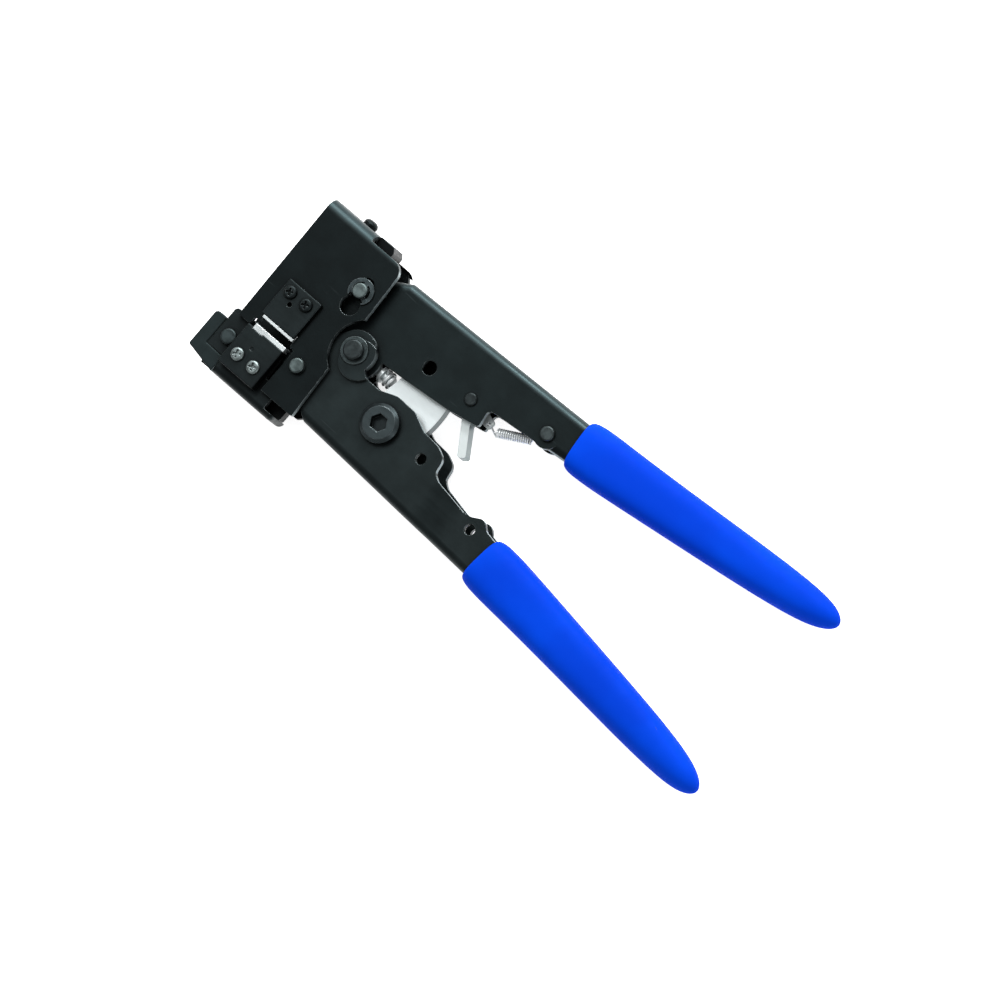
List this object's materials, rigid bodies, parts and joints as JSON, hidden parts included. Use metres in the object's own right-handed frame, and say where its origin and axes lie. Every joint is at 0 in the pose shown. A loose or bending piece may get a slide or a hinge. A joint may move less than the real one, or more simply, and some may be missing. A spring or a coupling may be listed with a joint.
{
  "type": "crimping tool",
  "caption": "Hand crimping tool for small wire splices: channel-shaped head with a sliding jaw and dies, ratchet linkage and two spread handles with dipped grips.",
  "frame": {"origin": "on the outer face of the rear housing plate, midway between the jaw pin and the lower handle pin", "axes": "+X along the handles towards the grips, +Y the way the moving jaw travels, +Z out of the front housing plate"},
  "size_m": [0.2409, 0.0838, 0.023],
  "materials": {
    "black_steel": "black oxide, matt",
    "pin_steel": "dark worn steel",
    "bright_steel": "bright zinc",
    "spring_steel": "drawn wire",
    "blue_vinyl": "satin dipped vinyl"
  },
  "bodies": {
    "head": {"housing": "black_steel", "end_block": "black_steel", "end_screw": "black_steel", "upper_die_block": "black_steel", "upper_die_screws": "black_steel", "upper_die_insert": "bright_steel", "lower_handle_pin": "pin_steel", "pin_spacers": "pin_steel", "return_spring": "spring_steel"},
    "jaw": {"moving_jaw": "black_steel", "draw_bar": "black_steel", "lower_die_block": "black_steel", "lower_die_screws": "bright_steel", "lower_die_insert": "bright_steel", "locator_lug": "black_steel", "locator_pin": "black_steel", "jaw_pin": "pin_steel", "jaw_pin_clip": "spring_steel", "jaw_pin_washers": "pin_steel"},
    "lower_arm": {"lower_handle": "black_steel", "lower_grip": "blue_vinyl", "ratchet_plate": "bright_steel", "ratchet_spacers": "pin_steel", "ratchet_bolt": "black_steel", "ratchet_nut": "black_steel", "spring_guide": "bright_steel", "ratchet_spring": "spring_steel", "pivot_pin": "pin_steel", "pivot_washer": "pin_steel", "pivot_bush": "pin_steel"},
    "upper_arm": {"upper_handle": "black_steel", "upper_grip": "blue_vinyl", "pawl_pin": "pin_steel", "spring_pin": "pin_steel", "pawl_spring": "spring_steel"},
    "pawl": {"pawl": "bright_steel"}
  },
  "joints": [
    {"name": "lower_handle_hinge", "type": "hinge", "parent": "head", "child": "lower_arm", "pos_m": [0, -0.0167, 0.01], "axis": [0, 0, 1], "range_deg": [0, 7]},
    {"name": "main_pivot", "type": "hinge", "parent": "lower_arm", "child": "upper_arm", "pos_m": [0.0116, 0, 0.01], "axis": [0, 0, 1], "range_deg": [-14, 0]},
    {"name": "jaw_slide", "type": "slide", "parent": "head", "child": "jaw", "axis": [0, 1, 0], "range_m": [0, 0.00257], "deforming": ["return_spring"]},
    {"name": "pawl_hinge", "type": "hinge", "parent": "upper_arm", "child": "pawl", "pos_m": [0.0537, 0.0133, 0.01], "axis": [0, 0, -1], "range_deg": [0, 12], "deforming": ["pawl_spring"]}
  ],
  "couplings": [
    {"joint": "main_pivot", "follows": "lower_handle_hinge", "ratio": -2},
    {"joint": "jaw_slide", "follows": "lower_handle_hinge", "m_per_rad": 0.02103}
  ]
}
